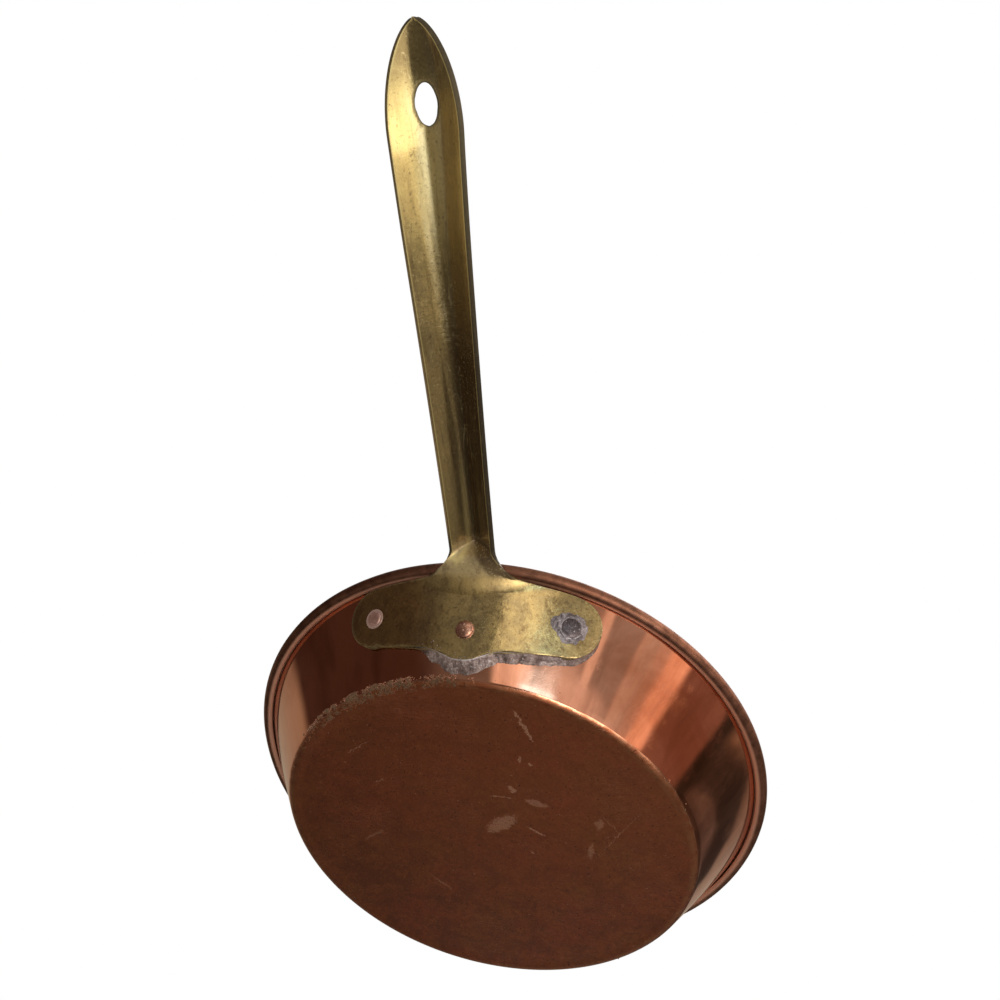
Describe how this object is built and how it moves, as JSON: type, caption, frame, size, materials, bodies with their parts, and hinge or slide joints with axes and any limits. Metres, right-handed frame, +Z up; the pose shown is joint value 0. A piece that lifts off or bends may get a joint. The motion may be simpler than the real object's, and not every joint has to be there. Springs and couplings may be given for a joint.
{
  "type": "skillet",
  "caption": "Shallow flared copper skillet with a rolled rim, a tinned inside and a riveted brass channel handle with a hanging hole.",
  "frame": {"origin": "centre of the base's underside, which rests on the worktop", "axes": "+Z up, out of the pan's mouth; the handle points along -Y; +X is to the right seen from the handle's end"},
  "size_m": [0.1998, 0.3616, 0.0493],
  "materials": {
    "copper": "polished and tarnished copper",
    "tin": "wiped tin",
    "wire": "drawn wire",
    "brass": "polished and tarnished brass",
    "rivet_copper": "worn copper",
    "solder": "dull rough solder"
  },
  "bodies": {
    "root": {"pan_body": "copper", "tin_lining": "tin", "rim_wire": "wire", "handle": "brass", "rivet_left": "rivet_copper", "rivet_centre": "rivet_copper", "rivet_right": "rivet_copper", "solder_seam": "solder", "rivet_solder": "solder"}
  },
  "joints": []
}
